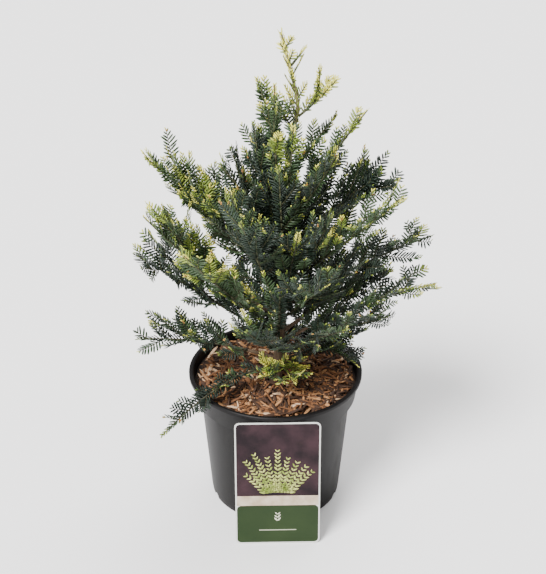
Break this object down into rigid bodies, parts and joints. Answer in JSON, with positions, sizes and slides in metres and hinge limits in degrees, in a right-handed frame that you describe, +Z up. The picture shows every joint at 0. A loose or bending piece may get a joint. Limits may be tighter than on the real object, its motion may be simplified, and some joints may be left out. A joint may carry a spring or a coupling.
{
  "type": "potted coast redwood",
  "caption": "Young dense conifer with flat needle sprays and pale tips, in a black round nursery pot topped with bark mulch, with a card leaning on its front.",
  "frame": {"origin": "middle of the pot's flat underside", "axes": "+Z up along the pot's axis and the stem, -Y towards the front where the card leans"},
  "size_m": [0.3141, 0.2359, 0.5382],
  "materials": {
    "pot_plastic": "black moulded plastic with a soft sheen",
    "potting_mix": "dark moist potting mix",
    "bark_mulch": "shredded bark",
    "label_card": "printed plastic card",
    "bark": "thin brown bark",
    "old_needles": "dark blue-green needles",
    "young_needles": "yellow-green needles",
    "pale_needles": "cream-tipped needles"
  },
  "bodies": {
    "root": {"bark_mulch": "bark_mulch", "bough_back_left": "bark", "bough_back_mid_left": "bark", "bough_back_mid_right": "bark", "bough_big_left": "bark", "bough_dark_left": "bark", "bough_far_left": "bark", "bough_low_left": "bark", "bough_mid_right_back": "bark", "bough_mid_right_front": "bark", "bough_out_left": "bark", "bough_right_back": "bark", "bough_right_long": "bark", "bough_right_low_front": "bark", "bough_right_low_long": "bark", "bough_upper_right": "bark", "container": "pot_plastic", "foliage_back_high": "old_needles", "foliage_back_high_right": "old_needles", "foliage_back_left": "old_needles", "foliage_back_low_left": "old_needles", "foliage_back_low_right": "old_needles", "foliage_back_mid": "old_needles", "foliage_back_mid_left": "old_needles", "foliage_back_mid_right": "old_needles", "foliage_big_left": "old_needles", "foliage_crown_left": "old_needles", "foliage_dark_left": "old_needles", "foliage_far_left": "old_needles", "foliage_front_high": "young_needles", "foliage_front_left": "old_needles", "foliage_front_low": "young_needles", "foliage_front_low_left": "old_needles", "foliage_front_low_right": "old_needles", "foliage_front_mid": "old_needles", "foliage_front_right": "old_needles", "foliage_front_rise_low": "old_needles", "foliage_front_rise_mid": "old_needles", "foliage_inner_back": "old_needles", "foliage_inner_front": "old_needles", "foliage_leader_right": "pale_needles", "foliage_leader_tip": "pale_needles", "foliage_lime_patch": "young_needles", "foliage_low_left": "old_needles", "foliage_mid_right_back": "old_needles", "foliage_mid_right_front": "young_needles", "foliage_out_left": "young_needles", "foliage_over_rim": "young_needles", "foliage_right_back": "old_needles", "foliage_right_feather": "old_needles", "foliage_right_long": "old_needles", "foliage_right_low_back": "old_needles", "foliage_right_low_front": "old_needles", "foliage_right_low_long": "old_needles", "foliage_top_left": "young_needles", "foliage_upper_right": "young_needles", "foliage_upper_right_back": "young_needles", "plant_label": "label_card", "potting_mix": "potting_mix", "trunk": "bark"}
  },
  "joints": []
}
